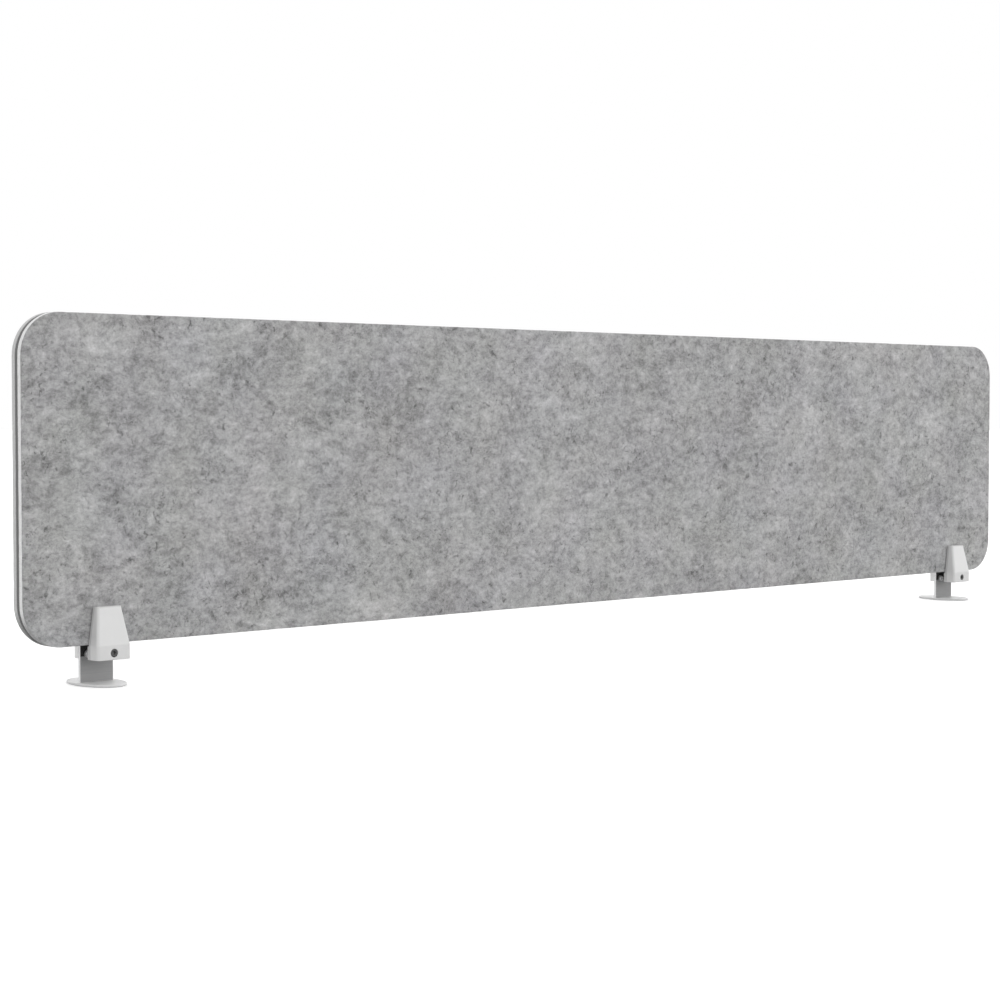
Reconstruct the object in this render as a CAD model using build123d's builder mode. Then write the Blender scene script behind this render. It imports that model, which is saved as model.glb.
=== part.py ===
"""Desk privacy panel: a felt-faced board that stands on two clamp-on feet.

Millimetres, +Z up, +X along the panel and -Y towards the user. The origin is on the desk top,
midway between the two feet. Every piece of a foot is made at its own x, so the left and the
right foot are the same parts made twice.
"""
import os

from build123d import *

# Panel: two felt sheets laminated to a thin dark core board
PANEL_LENGTH = 1500
PANEL_HEIGHT = 300
PANEL_CORNER = 40
FELT_THICKNESS = 5.6
CORE_THICKNESS = 4.8
CORE_INSET = 0.6
FELT_EDGE = 0.8
PANEL_BOTTOM = 37.5
PANEL_BACK = 2

# Feet
FOOT_SPACING = 1330
FOOT_WIDTH = 45
FOOT_DEPTH = 72
FOOT_THICKNESS = 2
FOOT_EDGE = 0.8
SOLE_THICKNESS = 0.5
SOLE_INSET = 1

# Stem plate that joins the foot to the clamp
STEM_WIDTH = 35
STEM_THICKNESS = 3
TENON_WIDTH = 8
TENON_SPACING = 18

# Clamp jaws, seen from the front: straight below the panel's edge, tapered above it
JAW_BOTTOM = 24.2
JAW_TOP = 72.4
JAW_HALF_WIDTH = 17.9
JAW_TOP_HALF_WIDTH = 12.9
JAW_BEND = 22
JAW_EDGE = 3
JAW_FOOT_EDGE = 0.6
JAW_WALL = 2
FRONT_JAW_DEPTH = 11.7
FRONT_JAW_TOP_DEPTH = 5
REAR_JAW_DEPTH = 7.6
REAR_JAW_TOP_DEPTH = 4.8
RIB = 1.5

# Linings: rubber faces the felt on both sides, and the panel stands on a rubber seat
CLEARANCE = 0.1
REAR_LINING = 0.6
SEAT_LINING = 1
APRON_BOTTOM = 26.3
LINING_INSET = 1.2
GRIP_THICKNESS = 0.8
JAW_PLATE_THICKNESS = 2.8
JAW_PLATE_INSET = 0.1
HEEL_WIDTH = 5
HEEL_THICKNESS = 1.8
HEEL_GAP = 0.3
STRIP_WIDTH = 2.5
STRIP_THICKNESS = 2
STRIP_GAP = 1

# Clamp screw: M4 x 30 socket head cap screw in an M4 clinch nut
SCREW_HEIGHT = 30.5
SCREW_RADIUS = 2
SCREW_LENGTH = 30
HEAD_RADIUS = 3.5
HEAD_HEIGHT = 4
HEAD_EDGE = 0.4
HEX_SOCKET = 3
HEX_DEPTH = 2
HEAD_RECESS = 0.4
HEAD_SEAT_GAP = 0.05
HEAD_POCKET_RADIUS = 3.95
CLEARANCE_HOLE = 2.25
BOSS_RADIUS = 6
CLIP_THICKNESS = 0.8
CLIP_RADIUS = 3.4
NUT_BORE = 2.05
NUT_BARREL_RADIUS = 2.8
NUT_FLANGE_RADIUS = 4
NUT_FLANGE = 3.2
NUT_POCKET_GAP = 0.2

# Two M4 x 8 socket head cap screws that fasten the stem to the rear jaw
JAW_SCREW_SPACING = 20
JAW_SCREW_HEIGHT = 28.4
JAW_SCREW_LENGTH = 8
LINING_SCREW_GAP = 0.5

# Planes across the depth of the object, worked out from the panel's back face
PANEL_FRONT = PANEL_BACK - 2 * FELT_THICKNESS - CORE_THICKNESS
REAR_JAW_FRONT = PANEL_BACK + CLEARANCE + REAR_LINING
STEM_FRONT = REAR_JAW_FRONT - STEM_THICKNESS
APRON_FRONT = STEM_FRONT - SEAT_LINING
GRIP_FRONT = PANEL_FRONT - CLEARANCE - GRIP_THICKNESS
JAW_PLATE_FRONT = GRIP_FRONT - JAW_PLATE_THICKNESS
FRONT_JAW_FRONT = JAW_PLATE_FRONT - FRONT_JAW_DEPTH
HEAD_FRONT = FRONT_JAW_FRONT + HEAD_RECESS
HEAD_BACK = HEAD_FRONT + HEAD_HEIGHT

# Levels
FOOT_TOP = SOLE_THICKNESS + FOOT_THICKNESS
STEM_TOP = PANEL_BOTTOM - CLEARANCE - SEAT_LINING


def facing_front(x, y, z=0):
    """Upright plane at y: local x is +X, local y is +Z, and an extrusion of -d goes back by d."""
    return Plane(origin=(x, y, z), x_dir=(1, 0, 0), z_dir=(0, -1, 0))


def side_on(x):
    """Upright plane at x: local x is +Y and local y is +Z."""
    return Plane(origin=(x, 0, 0), x_dir=(0, 1, 0), z_dir=(1, 0, 0))


def save(part, name):
    """Label a finished piece and write it as its own STEP file."""
    part.label = name
    export_step(part, f"parts/{name}.step")


# ---- panel ----

def panel_layer(front, thickness, inset=0):
    """One layer of the panel: a board with round corners."""
    with BuildPart() as layer:
        with BuildSketch(facing_front(0, front, PANEL_BOTTOM + PANEL_HEIGHT / 2)):
            RectangleRounded(PANEL_LENGTH - 2 * inset, PANEL_HEIGHT - 2 * inset, PANEL_CORNER - inset)
        extrude(amount=-thickness)
    return layer.part


def felt_sheet(front, outer_side):
    """A felt sheet, with the edge of its outer face softened."""
    with BuildPart() as sheet:
        add(panel_layer(front, FELT_THICKNESS))
        outer_face = sheet.faces().sort_by(Axis.Y)[outer_side]
        fillet(outer_face.edges(), FELT_EDGE)
    return sheet.part


# ---- foot ----

def tenon_places():
    """Where the stem's two tenons pass through the foot, along local x."""
    return GridLocations(TENON_SPACING, 1, 2, 1)


def foot_base(x):
    """Oval steel foot with two slots for the stem's tenons."""
    with BuildPart() as foot:
        with BuildSketch(Plane((x, 0, SOLE_THICKNESS))):
            Ellipse(FOOT_WIDTH / 2, FOOT_DEPTH / 2)
        extrude(amount=FOOT_THICKNESS)
        top_rim = foot.faces().sort_by(Axis.Z)[-1].edges()
        fillet(top_rim, FOOT_EDGE)
        with BuildSketch(Plane((x, STEM_FRONT + STEM_THICKNESS / 2, SOLE_THICKNESS))):
            with tenon_places():
                Rectangle(TENON_WIDTH, STEM_THICKNESS)
        extrude(amount=FOOT_THICKNESS, mode=Mode.SUBTRACT)
    return foot.part


def foot_sole(x):
    """Thin anti-slip sole under the foot."""
    with BuildPart() as sole:
        with BuildSketch(Plane((x, 0, 0))):
            Ellipse(FOOT_WIDTH / 2 - SOLE_INSET, FOOT_DEPTH / 2 - SOLE_INSET)
        extrude(amount=SOLE_THICKNESS)
    return sole.part


def stem_plate(x):
    """Flat steel stem: two tenons below, and holes for the clinch nut and the jaw screws above."""
    with BuildPart() as stem:
        with BuildSketch(facing_front(x, STEM_FRONT, (FOOT_TOP + STEM_TOP) / 2)):
            Rectangle(STEM_WIDTH, STEM_TOP - FOOT_TOP)
        with BuildSketch(facing_front(x, STEM_FRONT, SOLE_THICKNESS + FOOT_THICKNESS / 2)):
            with tenon_places():
                Rectangle(TENON_WIDTH, FOOT_THICKNESS)
        extrude(amount=-STEM_THICKNESS)
        with Locations(facing_front(x, STEM_FRONT, SCREW_HEIGHT)):
            Hole(NUT_BARREL_RADIUS, depth=STEM_THICKNESS)
        with BuildSketch(facing_front(x, STEM_FRONT, JAW_SCREW_HEIGHT)):
            with GridLocations(JAW_SCREW_SPACING, 1, 2, 1):
                Circle(CLEARANCE_HOLE)
        extrude(amount=-STEM_THICKNESS, mode=Mode.SUBTRACT)
    return stem.part


# ---- jaws ----

def jaw_outline(inset=0):
    """Corners of a jaw's front view: straight sides below the panel's edge, tapered ones above."""
    wide = JAW_HALF_WIDTH - inset
    narrow = JAW_TOP_HALF_WIDTH - inset
    low = JAW_BOTTOM + inset
    high = JAW_TOP - inset
    return [(-wide, low), (wide, low), (wide, PANEL_BOTTOM), (narrow, high), (-narrow, high),
            (-wide, PANEL_BOTTOM)]


def lining_outline(low):
    """Corners of a rubber lining's front view, from the level low up to the jaw's top."""
    taper = (JAW_HALF_WIDTH - JAW_TOP_HALF_WIDTH) / (JAW_TOP - PANEL_BOTTOM)
    wide = JAW_HALF_WIDTH - LINING_INSET - taper * max(low - PANEL_BOTTOM, 0)
    narrow = JAW_TOP_HALF_WIDTH - LINING_INSET
    high = JAW_TOP - LINING_INSET
    return [(-wide, low), (wide, low), (narrow, high), (-narrow, high)]


def jaw_profile(rim, depth, top_depth, inset=0):
    """Corners of a jaw's side view, between its rim plane and its outer face."""
    low = JAW_BOTTOM + inset
    high = JAW_TOP - inset
    return [(rim, low), (rim + depth, low), (rim + depth, PANEL_BOTTOM), (rim + top_depth, high),
            (rim, high)]


def jaw_rib(rim, depth, top_depth):
    """Corners of the rib that runs up the inside of a jaw from the clamp screw's boss."""
    high = JAW_TOP - JAW_WALL
    return [(rim, SCREW_HEIGHT), (rim + depth, SCREW_HEIGHT), (rim + depth, PANEL_BOTTOM),
            (rim + top_depth, high), (rim, high)]


def jaw_block(x, rim, depth, top_depth, inset=0):
    """A jaw's outer form. depth and top_depth are how far it stands out from its rim plane."""
    with BuildPart() as block:
        with BuildSketch(side_on(x)) as profile:
            Polygon(*jaw_profile(rim, depth, top_depth, inset), align=None)
            bend = profile.vertices().filter_by_position(Axis.Z, PANEL_BOTTOM, PANEL_BOTTOM)
            fillet(bend, JAW_BEND)
        extrude(amount=JAW_HALF_WIDTH, both=True)
        far_front = min(rim, rim + depth)
        with BuildSketch(facing_front(x, far_front)) as outline:
            Polygon(*jaw_outline(inset), align=None)
            bends = outline.vertices().filter_by_position(Axis.Z, PANEL_BOTTOM, PANEL_BOTTOM)
            fillet(bends, JAW_BEND)
        extrude(amount=-abs(depth), mode=Mode.INTERSECT)
    return block.part


def outer_edges(edges, rim):
    """The edges round a jaw's outer face: those with both ends away from its rim plane."""
    return edges.filter_by(lambda edge: all(abs(vertex.Y - rim) > CLEARANCE for vertex in edge.vertices()))


def jaw_shell(x, rim, depth, top_depth):
    """A hollow jaw, open at its rim, with soft edges round its outer face and a crisper one at the foot."""
    side = 1 if depth > 0 else -1
    cavity = jaw_block(x, rim, depth - side * JAW_WALL, top_depth - side * JAW_WALL, JAW_WALL)
    with BuildPart() as shell:
        add(jaw_block(x, rim, depth, top_depth))
        soft_edges = outer_edges(shell.edges(), rim).sort_by(Axis.Z)[1:]
        fillet(soft_edges, JAW_EDGE)
        lowest_face = shell.faces().sort_by(Axis.Z)[0]
        fillet(outer_edges(lowest_face.edges(), rim), JAW_FOOT_EDGE)
        add(cavity, mode=Mode.SUBTRACT)
    return shell.part


def front_jaw(x):
    """White front jaw: a hollow casting with a boss that seats the clamp screw's head."""
    seat = HEAD_BACK + HEAD_SEAT_GAP
    with BuildPart() as jaw:
        add(jaw_shell(x, JAW_PLATE_FRONT, -FRONT_JAW_DEPTH, -FRONT_JAW_TOP_DEPTH))
        with BuildSketch(facing_front(x, JAW_PLATE_FRONT, SCREW_HEIGHT)):
            Circle(BOSS_RADIUS - CLEARANCE)
        extrude(amount=FRONT_JAW_DEPTH - JAW_WALL)
        with BuildSketch(side_on(x)):
            Polygon(*jaw_rib(JAW_PLATE_FRONT, JAW_WALL - FRONT_JAW_DEPTH,
                             JAW_WALL - FRONT_JAW_TOP_DEPTH), align=None)
        extrude(amount=RIB / 2, both=True)
        with Locations(facing_front(x, FRONT_JAW_FRONT, SCREW_HEIGHT)):
            CounterBoreHole(CLEARANCE_HOLE, HEAD_POCKET_RADIUS, seat - FRONT_JAW_FRONT, FRONT_JAW_DEPTH)
    return jaw.part


def front_jaw_plate(x):
    """Steel plate behind the front jaw, with a heel that steadies it against the stem."""
    heel_bottom = JAW_BOTTOM + JAW_PLATE_INSET
    heel_length = APRON_FRONT - HEEL_GAP - GRIP_FRONT
    with BuildPart() as plate:
        with BuildSketch(facing_front(x, JAW_PLATE_FRONT)) as outline:
            Polygon(*jaw_outline(JAW_PLATE_INSET), align=None)
            bends = outline.vertices().filter_by_position(Axis.Z, PANEL_BOTTOM, PANEL_BOTTOM)
            fillet(bends, JAW_BEND)
        extrude(amount=-JAW_PLATE_THICKNESS)
        with BuildSketch(facing_front(x, GRIP_FRONT, heel_bottom + HEEL_THICKNESS / 2)):
            Rectangle(HEEL_WIDTH, HEEL_THICKNESS)
        extrude(amount=-heel_length)
        with Locations(facing_front(x, JAW_PLATE_FRONT, SCREW_HEIGHT)):
            Hole(CLEARANCE_HOLE, depth=JAW_PLATE_THICKNESS)
    return plate.part


def guide_strips(x):
    """Two steel strips welded to the back of the front jaw's plate, under the panel's edge."""
    bottom = JAW_BOTTOM + 2 * JAW_PLATE_INSET
    height = PANEL_BOTTOM - STRIP_GAP - bottom
    spacing = 2 * (JAW_HALF_WIDTH - 2 * JAW_PLATE_INSET) - STRIP_WIDTH
    with BuildPart() as strips:
        with BuildSketch(facing_front(x, GRIP_FRONT, bottom + height / 2)):
            with GridLocations(spacing, 1, 2, 1):
                Rectangle(STRIP_WIDTH, height)
        extrude(amount=-STRIP_THICKNESS)
    return strips.part


def front_grip_pad(x):
    """Rubber pad that grips the panel's front face."""
    with BuildPart() as pad:
        with BuildSketch(facing_front(x, GRIP_FRONT)):
            Polygon(*lining_outline(PANEL_BOTTOM + LINING_INSET), align=None)
        extrude(amount=-GRIP_THICKNESS)
        fillet(pad.edges().filter_by(Axis.Y), LINING_INSET)
    return pad.part


def rear_jaw(x):
    """White rear jaw: a hollow casting, with bosses for the jaw screws and a pocket for the nut."""
    boss_length = REAR_JAW_DEPTH - JAW_WALL
    screw_depth = JAW_SCREW_LENGTH - STEM_THICKNESS + NUT_POCKET_GAP
    with BuildPart() as jaw:
        add(jaw_shell(x, REAR_JAW_FRONT, REAR_JAW_DEPTH, REAR_JAW_TOP_DEPTH))
        with BuildSketch(facing_front(x, REAR_JAW_FRONT, SCREW_HEIGHT)):
            Circle(BOSS_RADIUS - CLEARANCE)
        with BuildSketch(facing_front(x, REAR_JAW_FRONT, JAW_SCREW_HEIGHT)):
            with GridLocations(JAW_SCREW_SPACING, 1, 2, 1):
                Circle(2 * SCREW_RADIUS)
        extrude(amount=-boss_length)
        with BuildSketch(side_on(x)):
            Polygon(*jaw_rib(REAR_JAW_FRONT, boss_length, REAR_JAW_TOP_DEPTH - JAW_WALL), align=None)
        extrude(amount=RIB / 2, both=True)
        with Locations(facing_front(x, REAR_JAW_FRONT, SCREW_HEIGHT)):
            Hole(NUT_FLANGE_RADIUS + NUT_POCKET_GAP, depth=NUT_FLANGE + NUT_POCKET_GAP)
        with BuildSketch(facing_front(x, REAR_JAW_FRONT, JAW_SCREW_HEIGHT)):
            with GridLocations(JAW_SCREW_SPACING, 1, 2, 1):
                Circle(SCREW_RADIUS)
        extrude(amount=-screw_depth, mode=Mode.SUBTRACT)
    return jaw.part


def rear_lining(x):
    """Black rubber lining: behind the panel, under it as a seat, and down over the stem's top."""
    with BuildPart() as lining:
        with BuildSketch(facing_front(x, PANEL_BACK + CLEARANCE)):
            Polygon(*lining_outline(STEM_TOP), align=None)
        extrude(amount=-REAR_LINING)
        with BuildSketch(side_on(x)):
            Polygon((APRON_FRONT, APRON_BOTTOM), (STEM_FRONT, APRON_BOTTOM), (STEM_FRONT, STEM_TOP),
                    (REAR_JAW_FRONT, STEM_TOP), (REAR_JAW_FRONT, STEM_TOP + SEAT_LINING),
                    (APRON_FRONT, STEM_TOP + SEAT_LINING), align=None)
        extrude(amount=STEM_WIDTH / 2, both=True)
        with Locations(facing_front(x, APRON_FRONT, SCREW_HEIGHT)):
            Hole(NUT_BARREL_RADIUS, depth=SEAT_LINING)
        with BuildSketch(facing_front(x, APRON_FRONT, JAW_SCREW_HEIGHT)):
            with GridLocations(JAW_SCREW_SPACING, 1, 2, 1):
                Circle(HEAD_RADIUS + LINING_SCREW_GAP)
        extrude(amount=-SEAT_LINING, mode=Mode.SUBTRACT)
    return lining.part


# ---- fasteners ----

def cap_screw(x, head_front, z, length):
    """M4 socket head cap screw, its axis along Y and its head facing the front."""
    with BuildPart() as screw:
        with BuildSketch(facing_front(x, head_front, z)):
            Circle(HEAD_RADIUS)
        extrude(amount=-HEAD_HEIGHT)
        rim = screw.edges().sort_by(Axis.Y)[0]
        fillet(rim, HEAD_EDGE)
        with BuildSketch(facing_front(x, head_front + HEAD_HEIGHT, z)):
            Circle(SCREW_RADIUS)
        extrude(amount=-length)
        tip = screw.edges().sort_by(Axis.Y)[-1]
        chamfer(tip, HEAD_EDGE)
        with BuildSketch(facing_front(x, head_front, z)):
            RegularPolygon(HEX_SOCKET / 2, 6, major_radius=False)
        extrude(amount=-HEX_DEPTH, mode=Mode.SUBTRACT)
    return screw.part


def jaw_screws(x):
    """The two screws that hold the stem to the rear jaw."""
    head_front = STEM_FRONT - HEAD_HEIGHT
    with BuildPart() as screws:
        for side in (-1, 1):
            add(cap_screw(x + side * JAW_SCREW_SPACING / 2, head_front, JAW_SCREW_HEIGHT,
                          JAW_SCREW_LENGTH))
    return screws.part


def screw_clip(x):
    """Push-on washer that keeps the clamp screw in the front jaw."""
    with BuildPart() as clip:
        with BuildSketch(facing_front(x, GRIP_FRONT + CLEARANCE, SCREW_HEIGHT)):
            Circle(CLIP_RADIUS)
            Circle(SCREW_RADIUS, mode=Mode.SUBTRACT)
        extrude(amount=-CLIP_THICKNESS)
    return clip.part


def clinch_nut(x):
    """M4 nut pressed into the stem from behind."""
    with BuildPart() as nut:
        with BuildSketch(facing_front(x, STEM_FRONT, SCREW_HEIGHT)):
            Circle(NUT_BARREL_RADIUS)
        extrude(amount=-STEM_THICKNESS)
        with BuildSketch(facing_front(x, REAR_JAW_FRONT, SCREW_HEIGHT)):
            Circle(NUT_FLANGE_RADIUS)
        extrude(amount=-NUT_FLANGE)
        with Locations(facing_front(x, STEM_FRONT, SCREW_HEIGHT)):
            Hole(NUT_BORE, depth=STEM_THICKNESS + NUT_FLANGE)
    return nut.part


os.makedirs("parts", exist_ok=True)

save(felt_sheet(PANEL_FRONT, 0), "front_felt_sheet")
save(panel_layer(PANEL_FRONT + FELT_THICKNESS, CORE_THICKNESS, CORE_INSET), "core_board")
save(felt_sheet(PANEL_BACK - FELT_THICKNESS, -1), "rear_felt_sheet")

for side, x in (("left", -FOOT_SPACING / 2), ("right", FOOT_SPACING / 2)):
    save(foot_base(x), f"{side}_foot_base")
    save(foot_sole(x), f"{side}_foot_sole")
    save(stem_plate(x), f"{side}_stem_plate")
    save(rear_jaw(x), f"{side}_rear_jaw")
    save(rear_lining(x), f"{side}_rear_lining")
    save(clinch_nut(x), f"{side}_clinch_nut")
    save(jaw_screws(x), f"{side}_jaw_screws")
    save(front_jaw(x), f"{side}_front_jaw")
    save(front_jaw_plate(x), f"{side}_front_jaw_plate")
    save(guide_strips(x), f"{side}_guide_strips")
    save(front_grip_pad(x), f"{side}_front_grip_pad")
    save(cap_screw(x, HEAD_FRONT, SCREW_HEIGHT, SCREW_LENGTH), f"{side}_clamp_screw")
    save(screw_clip(x), f"{side}_screw_clip")
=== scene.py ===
"""Desk privacy panel: its looks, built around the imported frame. Metres, +Z up, -Y towards the user."""
import math

import bpy
import numpy as np
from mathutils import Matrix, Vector, noise


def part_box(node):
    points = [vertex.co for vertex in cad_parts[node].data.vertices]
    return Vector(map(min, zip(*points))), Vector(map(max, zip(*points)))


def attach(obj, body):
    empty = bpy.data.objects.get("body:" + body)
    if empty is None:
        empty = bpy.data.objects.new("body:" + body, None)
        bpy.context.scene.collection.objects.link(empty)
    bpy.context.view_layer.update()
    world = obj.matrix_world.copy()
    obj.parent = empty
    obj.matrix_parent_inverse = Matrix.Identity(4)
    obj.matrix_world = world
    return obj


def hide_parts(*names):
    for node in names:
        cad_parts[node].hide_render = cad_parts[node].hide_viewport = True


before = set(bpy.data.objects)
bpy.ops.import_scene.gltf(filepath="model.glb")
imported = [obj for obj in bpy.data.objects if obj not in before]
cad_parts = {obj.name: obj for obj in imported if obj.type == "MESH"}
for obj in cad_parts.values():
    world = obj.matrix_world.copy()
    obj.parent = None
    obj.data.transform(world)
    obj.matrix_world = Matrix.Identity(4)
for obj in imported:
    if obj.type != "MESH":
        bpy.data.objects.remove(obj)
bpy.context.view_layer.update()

MM = 0.001
SIDES = ("left", "right")

# Camera, at the photograph's viewing angle
CAMERA_PLACE = (-1.758, -1.6799, 0.245)
CAMERA_YAW = 0.76191
CAMERA_PITCH = 0.03900
CAMERA_LENS = 77.87
CAMERA_SENSOR = 36

# Felt sheets
PANEL_CORNER = 40 * MM
FELT_EDGE = 1.1 * MM
FACE_DEPTH = 0.18 * MM
FELT_STEP = 5 * MM
CORNER_STEPS = 14
EDGE_STEPS = 4
WALL_STEPS = 5

# Felt's colour: its albedo, and how strongly each layer of its pattern varies it
FELT_ALBEDO = 0.342
DARKEST_FELT = 0.3
FELT_PATTERN = {"clouds": 0.25, "clumps": 1.9, "mottle": 1.8, "fibres": 0.9, "strands": 0.4, "grain": 0.65,
                "flecks": -0.5, "pale": 0.32}
FLECK_MIDDLE = 0.1
# painted light: the broad clouds are random tone, with this offset chosen so that they also stand in for
# light falling unevenly along the panel
CLOUD_SHIFT_PAINTED_LIGHT = (900, 0, 400)
FELT_BUMP = {"fibres": 0.5, "mottle": 0.7, "strands": 0.4}

# Felt's cut edges: their albedos, the front one painted lighter than the rear one as painted light, and how
# much darker painted shade makes them where they face down
# painted light: the front sheet's cut edge is the same felt as the rear one's, made lighter for the light
# falling on its rim
FRONT_CUT_PAINTED_LIGHT_ALBEDO = 0.80
REAR_CUT_ALBEDO = 0.55
# painted shade: the cut edges' down-facing parts are darkened by up to this share
CUT_PAINTED_SHADE = 0.6

# Albedos of the other materials
CORE_ALBEDO = 0.16
# painted light and shade: one white enamel in two copies, the front jaw's darker and the rear jaw's lighter,
# set for the light each jaw gets
FRONT_ENAMEL_PAINTED_SHADE_ALBEDO = 0.65
REAR_ENAMEL_PAINTED_LIGHT_ALBEDO = 0.85
FOOT_ALBEDO = 0.66
PLATE_ALBEDO = 0.5
STEM_ALBEDO = 0.30
SCREW_ALBEDO = 0.11
ZINC_ALBEDO = 0.75
BLACK_RUBBER_ALBEDO = 0.018
GREY_RUBBER_ALBEDO = 0.40
FLOOR_SEEN = 0.9
FLOOR_BOUNCE = 0.6
FLOOR_GLOW = 0.3

# Polished cut edges of the stems, painted near-white: partly the cut edge's own shine, partly a painted
# highlight
CUT_EDGE_AND_HIGHLIGHT_ALBEDO = 0.92
EDGE_ROUGHNESS = 0.22

# Socket head cap screws, M4
SHANK_RADIUS = 2 * MM
THREAD_PITCH = 0.7 * MM
THREAD_DEPTH = 0.38 * MM
THREAD_LENGTH = 20 * MM
HEAD_HEIGHT = 4 * MM
HEAD_ROUND = 0.35 * MM
HEX_APOTHEM = 1.5 * MM
HEX_DEPTH = 2 * MM
KNURLS = 36
KNURL_DEPTH = 0.13 * MM


# ---- node helpers ----

def add_node(tree, kind, inputs=None, **settings):
    """A shader node with its settings, and its inputs given as values or as sockets to link."""
    node = tree.nodes.new(kind)
    for name, value in settings.items():
        setattr(node, name, value)
    for key, value in (inputs or {}).items():
        if isinstance(value, bpy.types.NodeSocket):
            tree.links.new(value, node.inputs[key])
        else:
            node.inputs[key].default_value = value
    return node


def math_node(tree, operation, first, second=0.0, third=0.0):
    """The result of one Math node."""
    return add_node(tree, "ShaderNodeMath", {0: first, 1: second, 2: third}, operation=operation).outputs[0]


def weighted(tree, value, weight, middle=0.5):
    """(value - middle) * weight, for adding a noise that varies round its middle."""
    centred = math_node(tree, "SUBTRACT", value, middle)
    return math_node(tree, "MULTIPLY", centred, weight)


def total(tree, *values):
    """The sum of several values."""
    result = values[0]
    for value in values[1:]:
        result = math_node(tree, "ADD", result, value)
    return result


def millimetres(tree, stretch=(1, 1, 1)):
    """The object's own coordinates in millimetres, each axis divided by its stretch."""
    place = add_node(tree, "ShaderNodeTexCoord").outputs["Object"]
    scale = tuple(1 / MM / s for s in stretch)
    return add_node(tree, "ShaderNodeVectorMath", {0: place, 1: scale}, operation="MULTIPLY").outputs[0]


def noise_of(tree, place, period, detail=2.0, roughness=0.5, distortion=0.0):
    """A noise texture's value, with its coarsest bumps about one period apart."""
    inputs = {"Vector": place, "Scale": 1 / period, "Detail": detail, "Roughness": roughness,
              "Distortion": distortion}
    return add_node(tree, "ShaderNodeTexNoise", inputs).outputs[0]


def smooth_range(tree, value, low, high, to_low=0.0, to_high=1.0):
    """Value mapped from low..high to to_low..to_high with a smooth step."""
    inputs = {"Value": value, "From Min": low, "From Max": high, "To Min": to_low, "To Max": to_high}
    return add_node(tree, "ShaderNodeMapRange", inputs, interpolation_type="SMOOTHSTEP").outputs[0]


def grey(tree, value, tint=None):
    """A colour of that lightness, with an optional tint of (red, green, blue) factors or sockets."""
    red, green, blue = tint or (1.0, 1.0, 1.0)
    channels = {
        "Red": math_node(tree, "MULTIPLY", value, red),
        "Green": math_node(tree, "MULTIPLY", value, green),
        "Blue": math_node(tree, "MULTIPLY", value, blue),
    }
    return add_node(tree, "ShaderNodeCombineColor", channels).outputs[0]


def bump(tree, height, strength, distance):
    """A normal bent by a height field, its depth in metres."""
    inputs = {"Height": height, "Strength": strength, "Distance": distance}
    return add_node(tree, "ShaderNodeBump", inputs).outputs[0]


def new_material(name, **settings):
    """A material with one Principled shader: returns the material, its tree and the shader."""
    material = bpy.data.materials.new(name)
    material.use_nodes = True
    tree = material.node_tree
    shader = tree.nodes["Principled BSDF"]
    for key, value in settings.items():
        shader.inputs[key.replace("_", " ")].default_value = value
    return material, tree, shader


def feed(tree, shader, **sockets):
    """Link values to the shader's inputs."""
    for key, socket in sockets.items():
        tree.links.new(socket, shader.inputs[key.replace("_", " ")])


# ---- materials ----

def swirled_fibres(tree, seed, length, width):
    """Short fibres whose direction wanders over the sheet."""
    place = millimetres(tree)
    moved = add_node(tree, "ShaderNodeVectorMath", {0: place, 1: (seed, 3 * seed, 7 * seed)}, operation="ADD")
    turn = noise_of(tree, moved.outputs[0], 9, 2)
    angle = math_node(tree, "MULTIPLY", turn, 4 * math.tau)
    inputs = {"Vector": moved.outputs[0], "Axis": (0, 1, 0), "Angle": angle}
    turned = add_node(tree, "ShaderNodeVectorRotate", inputs, rotation_type="AXIS_ANGLE").outputs[0]
    scale = (1 / length, 1 / width, 1 / width)
    stretched = add_node(tree, "ShaderNodeVectorMath", {0: turned, 1: scale}, operation="MULTIPLY").outputs[0]
    return noise_of(tree, stretched, 1, 2, 0.6)


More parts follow.
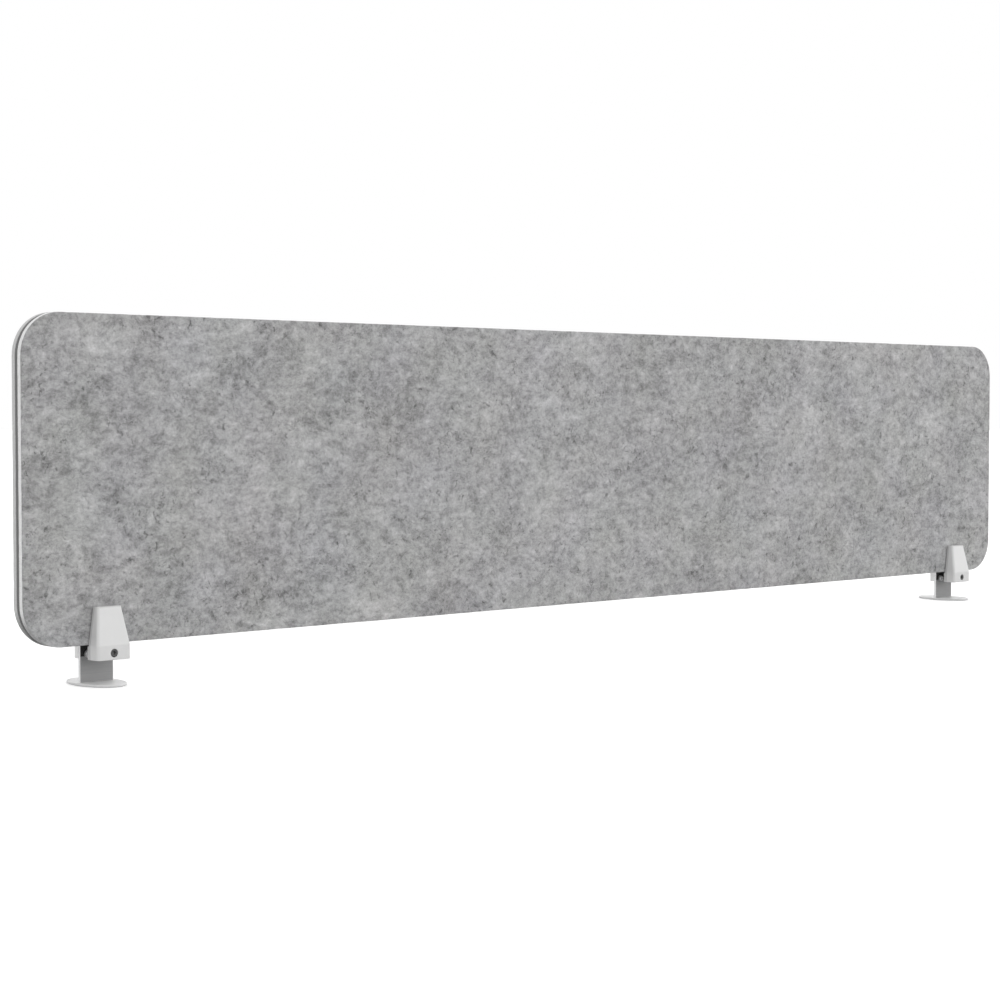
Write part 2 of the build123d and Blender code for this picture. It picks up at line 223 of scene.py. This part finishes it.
def felt_material():
    """Pressed grey felt: clouds, clumps, dark curly flecks and fine fibres."""
    material, tree, shader = new_material("grey_felt_face", Roughness=0.95, Sheen_Weight=0.25,
                                          Sheen_Roughness=0.6)
    shader.inputs["Specular IOR Level"].default_value = 0.15
    place = millimetres(tree)
    wide = millimetres(tree, (1.5, 1, 1))
    # the broad clouds carry random tone, and through their offset painted light as well
    shifted = add_node(tree, "ShaderNodeVectorMath", {0: place, 1: CLOUD_SHIFT_PAINTED_LIGHT}, operation="ADD").outputs[0]
    clouds = noise_of(tree, shifted, 150, 1)
    clumps = noise_of(tree, wide, 42, 6, 0.92, 0.4)
    mottle = noise_of(tree, wide, 8, 4, 0.78, 0.25)
    curls = noise_of(tree, place, 6.5, 3, 0.6, 0.8)
    gathered = smooth_range(tree, noise_of(tree, place, 34, 2), 0.38, 0.62, 0.25, 1.0)
    flecks = math_node(tree, "MULTIPLY", smooth_range(tree, curls, 0.44, 0.31), gathered)
    pale = smooth_range(tree, noise_of(tree, wide, 5, 3, 0.7, 0.9), 0.62, 0.75)
    grain = noise_of(tree, place, 3.2, 2, 0.6)
    fibres = swirled_fibres(tree, 11, 2.4, 0.34)
    strands = swirled_fibres(tree, 47, 4.2, 0.5)
    layers = {"clouds": clouds, "clumps": clumps, "mottle": mottle, "fibres": fibres, "strands": strands,
              "grain": grain, "flecks": flecks, "pale": pale}
    middles = {"flecks": FLECK_MIDDLE, "pale": FLECK_MIDDLE}
    lightness = total(tree, 1.0, *(weighted(tree, layers[name], weight, middles.get(name, 0.5))
                                   for name, weight in FELT_PATTERN.items()))
    albedo = math_node(tree, "MULTIPLY", math_node(tree, "MAXIMUM", lightness, DARKEST_FELT), FELT_ALBEDO)
    pink = noise_of(tree, place, 90, 3)
    cool = noise_of(tree, place, 75, 3)
    red = total(tree, 1.002, weighted(tree, pink, 0.05))
    blue = total(tree, 1.005, weighted(tree, pink, 0.04), weighted(tree, cool, 0.09))
    height = total(tree, *(math_node(tree, "MULTIPLY", layers[name], weight)
                           for name, weight in FELT_BUMP.items()))
    feed(tree, shader, Base_Color=grey(tree, albedo, (red, 1.0, blue)),
         Normal=bump(tree, height, 0.55, 0.45 * MM))
    return material


def felt_cut_material(name, albedo):
    """The felt's cut edge: paler, in thin layers that run along the sheet, and darkened by painted shade
    where it faces down.
    """
    material, tree, shader = new_material(name, Roughness=0.95, Sheen_Weight=0.3, Sheen_Roughness=0.6)
    shader.inputs["Specular IOR Level"].default_value = 0.15
    layers = noise_of(tree, millimetres(tree, (9, 0.5, 9)), 1, 3, 0.6)
    tufts = noise_of(tree, millimetres(tree), 1.6, 3, 0.7, 0.8)
    normal = add_node(tree, "ShaderNodeTexCoord").outputs["Normal"]
    up = add_node(tree, "ShaderNodeSeparateXYZ", {0: normal}).outputs["Z"]
    # painted shade: darker the more the cut edge faces down, where the panel shades itself
    painted_underside_shade = smooth_range(tree, up, -0.05, -0.65, 0.0, CUT_PAINTED_SHADE)
    lightness = total(tree, 1.0, weighted(tree, layers, 0.5), weighted(tree, tufts, 0.55),
                      weighted(tree, painted_underside_shade, -1.0, 0.0))
    height = total(tree, layers, tufts)
    feed(tree, shader, Base_Color=grey(tree, math_node(tree, "MULTIPLY", lightness, albedo)),
         Normal=bump(tree, height, 0.7, 0.4 * MM))
    return material


def core_material():
    """Dark fibreboard: fine speckle, matt."""
    material, tree, shader = new_material("dark_core_board", Roughness=0.85)
    speckle = noise_of(tree, millimetres(tree), 0.9, 3, 0.7)
    streak = noise_of(tree, millimetres(tree, (12, 0.7, 12)), 1, 2)
    lightness = total(tree, 1.0, weighted(tree, speckle, 0.9), weighted(tree, streak, 0.6))
    albedo = math_node(tree, "MULTIPLY", lightness, CORE_ALBEDO)
    feed(tree, shader, Base_Color=grey(tree, albedo), Normal=bump(tree, speckle, 0.4, 0.2 * MM))
    return material


def enamel_material(name, albedo):
    """White enamel on a die casting: a faint orange peel under a smooth coat."""
    material, tree, shader = new_material(name, Coat_Weight=0.25, Coat_Roughness=0.18)
    place = millimetres(tree)
    peel = noise_of(tree, place, 1.1, 1)
    shade = noise_of(tree, place, 14, 3)
    dust = smooth_range(tree, noise_of(tree, place, 0.7, 2), 0.68, 0.78)
    lightness = total(tree, 1.0, weighted(tree, shade, 0.05), weighted(tree, dust, -0.10, 0.0))
    albedo = math_node(tree, "MULTIPLY", lightness, albedo)
    gloss = total(tree, 0.36, weighted(tree, shade, 0.12), weighted(tree, peel, 0.08))
    feed(tree, shader, Base_Color=grey(tree, albedo, (1.0, 0.999, 0.996)), Roughness=gloss,
         Normal=bump(tree, peel, 0.25, 0.03 * MM))
    return material


def powder_coat_material(name, albedo):
    """Powder coat: a fine orange peel, satin."""
    material, tree, shader = new_material(name)
    place = millimetres(tree)
    peel = noise_of(tree, place, 0.8, 2)
    shade = noise_of(tree, place, 11, 3)
    lightness = total(tree, 1.0, weighted(tree, shade, 0.06), weighted(tree, peel, 0.05))
    gloss = total(tree, 0.48, weighted(tree, shade, 0.15), weighted(tree, peel, 0.1))
    feed(tree, shader, Base_Color=grey(tree, math_node(tree, "MULTIPLY", lightness, albedo)), Roughness=gloss,
         Normal=bump(tree, peel, 0.4, 0.04 * MM))
    return material


def steel_material(name, albedo, roughness, metallic, stretch, contrast, cut_edge_and_highlight_albedo=None):
    """Brushed steel: fine scratches along the stretched axis, faint stains and a satin gloss. With an edge
    albedo, the faces at the ends of X are painted near-white and glossy: partly a polished cut edge, partly a
    painted highlight on those sides."""
    material, tree, shader = new_material(name, Metallic=metallic)
    scratches = noise_of(tree, millimetres(tree, stretch), 0.16, 2, 0.7)
    bands = noise_of(tree, millimetres(tree, stretch), 1.1, 2)
    stains = noise_of(tree, millimetres(tree), 12, 3)
    lightness = total(tree, 1.0, weighted(tree, scratches, contrast), weighted(tree, bands, 0.7 * contrast),
                      weighted(tree, stains, 0.12))
    gloss = total(tree, roughness, weighted(tree, scratches, 0.25), weighted(tree, stains, 0.12))
    if cut_edge_and_highlight_albedo:
        normal = add_node(tree, "ShaderNodeTexCoord").outputs["Normal"]
        across = add_node(tree, "ShaderNodeSeparateXYZ", {0: normal}).outputs["X"]
        # painted highlight: faces across X get a near-white albedo and low roughness, partly a polished cut
        # edge
        cut = math_node(tree, "GREATER_THAN", math_node(tree, "ABSOLUTE", across), 0.7)
        albedo = math_node(tree, "MULTIPLY_ADD", cut, cut_edge_and_highlight_albedo - albedo, albedo)
        gloss = math_node(tree, "MULTIPLY_ADD", cut, EDGE_ROUGHNESS - roughness, gloss)
    colour = grey(tree, math_node(tree, "MULTIPLY", lightness, albedo), (1.0, 1.0, 1.006))
    feed(tree, shader, Base_Color=colour, Roughness=gloss, Normal=bump(tree, scratches, 0.2, 0.03 * MM))
    return material


def rubber_material(name, albedo):
    """Rubber: matt, with a fine grain and a little dust."""
    material, tree, shader = new_material(name, Roughness=0.75)
    grain = noise_of(tree, millimetres(tree), 0.35, 2, 0.7)
    dust = smooth_range(tree, noise_of(tree, millimetres(tree), 2.6, 4, 0.7), 0.5, 0.8)
    lightness = total(tree, albedo, weighted(tree, grain, 0.5 * albedo),
                      math_node(tree, "MULTIPLY", dust, 0.02))
    feed(tree, shader, Base_Color=grey(tree, lightness), Normal=bump(tree, grain, 0.5, 0.06 * MM))
    return material


def paper_floor_material():
    """Studio floor: plain white to the camera, and paper that bounces less light to everything else."""
    material, tree, paper = new_material("studio_floor", Roughness=0.9)
    paper.inputs["Specular IOR Level"].default_value = 0.1
    grain = noise_of(tree, millimetres(tree), 400, 2)
    feed(tree, paper, Base_Color=grey(tree, total(tree, FLOOR_SEEN, weighted(tree, grain, 0.01))))
    bounce = add_node(tree, "ShaderNodeBsdfDiffuse", {"Color": (FLOOR_BOUNCE,) * 3 + (1,)})
    seen = add_node(tree, "ShaderNodeLightPath").outputs["Is Camera Ray"]
    glow = add_node(tree, "ShaderNodeEmission", {"Color": (1, 1, 1, 1), "Strength": FLOOR_GLOW})
    lit = add_node(tree, "ShaderNodeAddShader", {0: paper.outputs[0], 1: glow.outputs[0]})
    mixed = add_node(tree, "ShaderNodeMixShader", {0: seen, 1: bounce.outputs[0], 2: lit.outputs[0]})
    tree.links.new(mixed.outputs[0], tree.nodes["Material Output"].inputs["Surface"])
    return material


# ---- mesh helpers ----

def new_piece(name, vertices, faces, materials, face_materials=None, smooth=True):
    """A mesh object from plain lists, with its materials."""
    mesh = bpy.data.meshes.new(name)
    mesh.from_pydata([tuple(v) for v in vertices], [], faces)
    for material in materials:
        mesh.materials.append(material)
    if face_materials is not None:
        mesh.polygons.foreach_set("material_index", face_materials)
    mesh.polygons.foreach_set("use_smooth", [smooth] * len(mesh.polygons))
    mesh.update()
    piece = bpy.data.objects.new(name, mesh)
    bpy.context.scene.collection.objects.link(piece)
    return piece


def strip(first, second):
    """Quads between two closed loops of vertex numbers of equal length."""
    count = len(first)
    return [(first[i], first[(i + 1) % count], second[(i + 1) % count], second[i]) for i in range(count)]


def wander(point, period, seed):
    """Smooth noise of about -0.5 to 0.5 at a point."""
    return 0.5 * noise.noise(Vector(point) / period + Vector((seed, 2.3 * seed, 5.1 * seed)))


# ---- felt sheets ----

def felt_sheet(name, node, outward, cut):
    """One felt sheet: a slightly uneven face, soft rims and a rough cut edge of the material cut. outward
    is -1 or 1 in Y."""
    low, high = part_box(node)
    half_length = (high.x - low.x) / 2 - FELT_EDGE
    half_height = (high.z - low.z) / 2 - FELT_EDGE
    corner = PANEL_CORNER - FELT_EDGE
    middle = (low + high) / 2
    outer_y = low.y if outward < 0 else high.y
    thickness = high.y - low.y
    straight_x = half_length - corner
    straight_z = half_height - corner

    angles = [math.radians(90 * i / CORNER_STEPS) for i in range(1, CORNER_STEPS + 1)]
    inner_columns = np.linspace(-straight_x, straight_x, round(2 * straight_x / FELT_STEP) + 1)
    columns = [(x, half_height, 0.0, 1.0) for x in inner_columns]
    rights = [(straight_x + corner * math.sin(a), straight_z + corner * math.cos(a), math.sin(a), math.cos(a))
              for a in angles]
    lefts = [(-x, z, -nx, nz) for x, z, nx, nz in reversed(rights)]
    columns = lefts + columns + rights
    row_steps = round(2 * half_height / FELT_STEP)
    rows = [2 * i / row_steps - 1 for i in range(row_steps + 1)]

    def face_point(x, z):
        relief = wander((x, outer_y, z), 26 * MM, 3) * 0.22 + wander((x, outer_y, z), 8 * MM, 8) * 0.14
        return Vector((middle.x + x, outer_y - outward * (FACE_DEPTH + relief * MM), middle.z + z))

    vertices, numbers = [], {}
    for c, (x, top, nx, nz) in enumerate(columns):
        for r, t in enumerate(rows):
            numbers[c, r] = len(vertices)
            vertices.append(face_point(x, t * top))
    faces = []
    last_column, last_row = len(columns) - 1, len(rows) - 1
    for c in range(last_column):
        for r in range(last_row):
            faces.append((numbers[c, r], numbers[c + 1, r], numbers[c + 1, r + 1], numbers[c, r + 1]))

    rim = [((c, last_row), (columns[c][2], columns[c][3])) for c in range(last_column + 1)]
    rim += [((last_column, r), (1.0, 0.0)) for r in range(last_row - 1, 0, -1)]
    rim += [((c, 0), (columns[c][2], -columns[c][3])) for c in range(last_column, -1, -1)]
    rim += [((0, r), (-1.0, 0.0)) for r in range(1, last_row)]
    loop = [numbers[key] for key, normal in rim]

    rounding = [math.radians(90 * i / EDGE_STEPS) for i in range(1, EDGE_STEPS + 1)]
    profile = [(FELT_EDGE * math.sin(a), FACE_DEPTH + FELT_EDGE * (1 - math.cos(a))) for a in rounding]
    wall = np.linspace(FELT_EDGE + FACE_DEPTH, thickness, WALL_STEPS + 1)[1:]
    profile += [(FELT_EDGE, depth) for depth in wall]
    face_materials = [0] * len(faces)
    starts = [vertices[i].copy() for i in loop]
    for level, (outset, depth) in enumerate(profile):
        ring = []
        for start, (key, (nx, nz)) in zip(starts, rim):
            fray = abs(wander((start.x, depth, start.z), 1.7 * MM, 21)) * 0.55
            fray += abs(wander((start.x, depth, start.z), 13 * MM, 34)) * 0.5
            out = outset - fray * MM * outset / FELT_EDGE
            ring.append(len(vertices))
            vertices.append(Vector((start.x + nx * out, outer_y - outward * depth, start.z + nz * out)))
        faces += strip(loop, ring)
        face_materials += [0 if level < EDGE_STEPS - 1 else 1] * len(loop)
        loop = ring
    faces.append(tuple(loop))
    face_materials.append(1)
    if outward > 0:
        faces = [tuple(reversed(face)) for face in faces]
    piece = new_piece(name, vertices, faces, [felt, cut], face_materials)
    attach(piece, "panel")
    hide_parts(node)


# ---- screws ----

def turned(rings, centre, segments):
    """A closed body turned about the Y axis through centre. Each ring is (radius, y), the radius a number or
    a function of the angle, and the first and last rings are closed by a point at the axis."""
    vertices, faces, loops = [], [], []
    for radius, y in rings:
        loop = []
        for i in range(segments):
            angle = math.tau * i / segments
            r = radius(angle) if callable(radius) else radius
            loop.append(len(vertices))
            vertices.append(Vector((centre.x + r * math.sin(angle), y, centre.z + r * math.cos(angle))))
        loops.append(loop)
    for first, second in zip(loops, loops[1:]):
        faces += strip(first, second)
    for loop, y, flip in ((loops[0], rings[0][1], True), (loops[-1], rings[-1][1], False)):
        tip = len(vertices)
        vertices.append(Vector((centre.x, y, centre.z)))
        for i in range(segments):
            pair = (loop[i], loop[(i + 1) % segments])
            faces.append((pair[1], pair[0], tip) if flip else (pair[0], pair[1], tip))
    return vertices, faces


def hexagon(angle):
    """Radius of the hex socket's wall at an angle."""
    return HEX_APOTHEM / math.cos((angle + math.pi / 6) % (math.pi / 3) - math.pi / 6)


def screw_head(centre, front, radius):
    """Knurled cylinder head with a hex socket that opens to the front."""
    def knurled(angle):
        return radius - KNURL_DEPTH * (0.5 + 0.5 * math.cos(KNURLS * angle))

    mouth = HEX_APOTHEM * 1.22
    rings = [(0.3 * HEX_APOTHEM, front + HEX_DEPTH + 0.35 * MM), (hexagon, front + HEX_DEPTH),
             (hexagon, front + 0.30 * MM), (mouth, front + 0.02 * MM), (mouth + 0.08 * MM, front)]
    for step in range(5):
        a = math.radians(90 * step / 4)
        rings.append((radius - HEAD_ROUND + HEAD_ROUND * math.sin(a), front + HEAD_ROUND * (1 - math.cos(a))))
    rings += [(knurled, front + HEAD_ROUND + 0.15 * MM), (knurled, front + HEAD_HEIGHT - 0.25 * MM),
              (radius - 0.12 * MM, front + HEAD_HEIGHT), (0.8 * SHANK_RADIUS, front + HEAD_HEIGHT)]
    return turned(rings, centre, 4 * KNURLS)


def screw_shank(centre, start, end):
    """Shank with a right-hand thread over its last stretch."""
    thread_start = max(start + THREAD_PITCH, end - THREAD_LENGTH)
    crest = SHANK_RADIUS - 0.02 * MM
    rings = [(0.98 * SHANK_RADIUS, start - 0.3 * MM), (0.98 * SHANK_RADIUS, thread_start - THREAD_PITCH / 2)]
    steps = round((end - 0.5 * MM - thread_start) / (THREAD_PITCH / 7))
    for y in np.linspace(thread_start, end - 0.5 * MM, steps):
        def threaded(angle, y=y):
            phase = ((y / THREAD_PITCH) - angle / math.tau) % 1
            return crest - THREAD_DEPTH * min(1.0, max(0.0, 1.25 - abs(2 * phase - 1) * 1.35))
        rings.append((threaded, y))
    rings.append((crest - THREAD_DEPTH - 0.1 * MM, end))
    return turned(rings, centre, 48)


def cap_screws(name, node, places, head_front, length, body, steel):
    """One piece of one or more cap screws with the same head plane and length."""
    vertices, faces = [], []
    radius = (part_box(node)[1].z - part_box(node)[0].z) / 2
    for centre in places:
        head_back = head_front + HEAD_HEIGHT
        for part in (screw_head(centre, head_front, radius),
                     screw_shank(centre, head_back, head_back + length)):
            offset = len(vertices)
            vertices += part[0]
            faces += [tuple(i + offset for i in face) for face in part[1]]
    piece = new_piece(name, vertices, faces, [steel])
    smooth_by_angle(piece)
    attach(piece, body)
    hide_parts(node)


def smooth_by_angle(piece, degrees=38):
    """Smooth shading that keeps edges sharper than the given angle."""
    mesh = piece.data
    mesh.polygons.foreach_set("use_smooth", [True] * len(mesh.polygons))
    mesh.set_sharp_from_angle(angle=math.radians(degrees))


# ---- build ----

felt = felt_material()
core = core_material()
# the two enamel copies are the same paint, made darker and lighter as painted shade and painted light
front_enamel_painted_shade = enamel_material("front_white_enamel_painted_shade", FRONT_ENAMEL_PAINTED_SHADE_ALBEDO)
rear_enamel_painted_light = enamel_material("rear_white_enamel_painted_light", REAR_ENAMEL_PAINTED_LIGHT_ALBEDO)
stem_steel = steel_material("stem_steel_brushed", STEM_ALBEDO, 0.55, 0.35, (40, 1, 1), 0.25, CUT_EDGE_AND_HIGHLIGHT_ALBEDO)
foot_coat = powder_coat_material("foot_powder_coat", FOOT_ALBEDO)
plate_coat = powder_coat_material("plate_grey_enamel", PLATE_ALBEDO)
screw_steel = steel_material("screw_steel_dark", SCREW_ALBEDO, 0.36, 0.9, (1, 1, 1), 0.20)
zinc_steel = steel_material("zinc_steel_bright", ZINC_ALBEDO, 0.40, 0.5, (1, 1, 1), 0.15)
black_rubber = rubber_material("black_rubber_lining", BLACK_RUBBER_ALBEDO)
grey_rubber = rubber_material("grey_rubber_pad", GREY_RUBBER_ALBEDO)

# the front cut edge's material carries painted light, and both carry painted shade where they face down
felt_sheet("felt_front", "front_felt_sheet", -1, felt_cut_material("front_felt_cut_painted_light", FRONT_CUT_PAINTED_LIGHT_ALBEDO))
felt_sheet("felt_rear", "rear_felt_sheet", 1, felt_cut_material("rear_felt_cut", REAR_CUT_ALBEDO))

CAD_MATERIALS = {"core_board": core}
for side in SIDES:
    CAD_MATERIALS[f"{side}_front_jaw"] = front_enamel_painted_shade
    CAD_MATERIALS[f"{side}_rear_jaw"] = rear_enamel_painted_light
    for part in ("front_grip_pad", "foot_sole"):
        CAD_MATERIALS[f"{side}_{part}"] = grey_rubber
    for part in ("front_jaw_plate", "guide_strips"):
        CAD_MATERIALS[f"{side}_{part}"] = plate_coat
    for part in ("screw_clip", "clamp_screw"):
        CAD_MATERIALS[f"{side}_{part}"] = screw_steel
    for part in ("clinch_nut", "jaw_screws"):
        CAD_MATERIALS[f"{side}_{part}"] = zinc_steel
    CAD_MATERIALS[f"{side}_stem_plate"] = stem_steel
    CAD_MATERIALS[f"{side}_rear_lining"] = black_rubber
    CAD_MATERIALS[f"{side}_foot_base"] = foot_coat

for node, material in CAD_MATERIALS.items():
    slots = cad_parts[node].material_slots
    for slot in slots:
        slot.link = "OBJECT"
        slot.material = material

for side in SIDES:
    low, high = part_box(f"{side}_clamp_screw")
    centre = (low + high) / 2
    cap_screws(f"{side}_clamp_screw_threaded", f"{side}_clamp_screw", [centre], low.y,
               high.y - low.y - HEAD_HEIGHT, f"{side}_screw", screw_steel)
    low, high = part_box(f"{side}_jaw_screws")
    radius = (high.z - low.z) / 2
    places = [Vector((x, 0, (low.z + high.z) / 2)) for x in (low.x + radius, high.x - radius)]
    cap_screws(f"{side}_jaw_screw_pair", f"{side}_jaw_screws", places, low.y,
               high.y - low.y - HEAD_HEIGHT, f"{side}_foot", zinc_steel)

# ---- stage, lights and camera ----

FLOOR_HALF = 30
SKY_HORIZON = 1.95
SKY_ZENITH = 0.6
SKY_TILT = 0.42
floor = new_piece("floor", [(-FLOOR_HALF, -FLOOR_HALF, 0), (FLOOR_HALF, -FLOOR_HALF, 0),
                            (FLOOR_HALF, FLOOR_HALF, 0), (-FLOOR_HALF, FLOOR_HALF, 0)], [(0, 1, 2, 3)],
                  [paper_floor_material()], smooth=False)

world = bpy.data.worlds.new("studio")
world.use_nodes = True
sky = world.node_tree
backdrop = sky.nodes["Background"]
backdrop.inputs["Color"].default_value = (1, 1, 1, 1)
direction = add_node(sky, "ShaderNodeTexCoord").outputs["Generated"]
towards = add_node(sky, "ShaderNodeSeparateXYZ", {0: direction})
rise = math_node(sky, "MULTIPLY_ADD", towards.outputs["Z"], SKY_ZENITH - SKY_HORIZON, SKY_HORIZON)
softbox = math_node(sky, "MULTIPLY_ADD", towards.outputs["X"], SKY_TILT, rise)
feed(sky, backdrop, Strength=softbox)
white = add_node(sky, "ShaderNodeBackground", {"Color": (1, 1, 1, 1), "Strength": 1.0})
seen = add_node(sky, "ShaderNodeLightPath").outputs["Is Camera Ray"]
mixed = add_node(sky, "ShaderNodeMixShader", {0: seen, 1: backdrop.outputs[0], 2: white.outputs[0]})
sky.links.new(mixed.outputs[0], sky.nodes["World Output"].inputs["Surface"])
bpy.context.scene.world = world

camera_data = bpy.data.cameras.new("camera")
camera_data.lens = CAMERA_LENS
camera_data.sensor_width = CAMERA_SENSOR
camera = bpy.data.objects.new("camera", camera_data)
camera.location = CAMERA_PLACE
camera.rotation_euler = (math.pi / 2 - CAMERA_PITCH, 0, -CAMERA_YAW)
bpy.context.scene.collection.objects.link(camera)
bpy.context.scene.camera = camera
bpy.context.scene.view_settings.view_transform = "Standard"
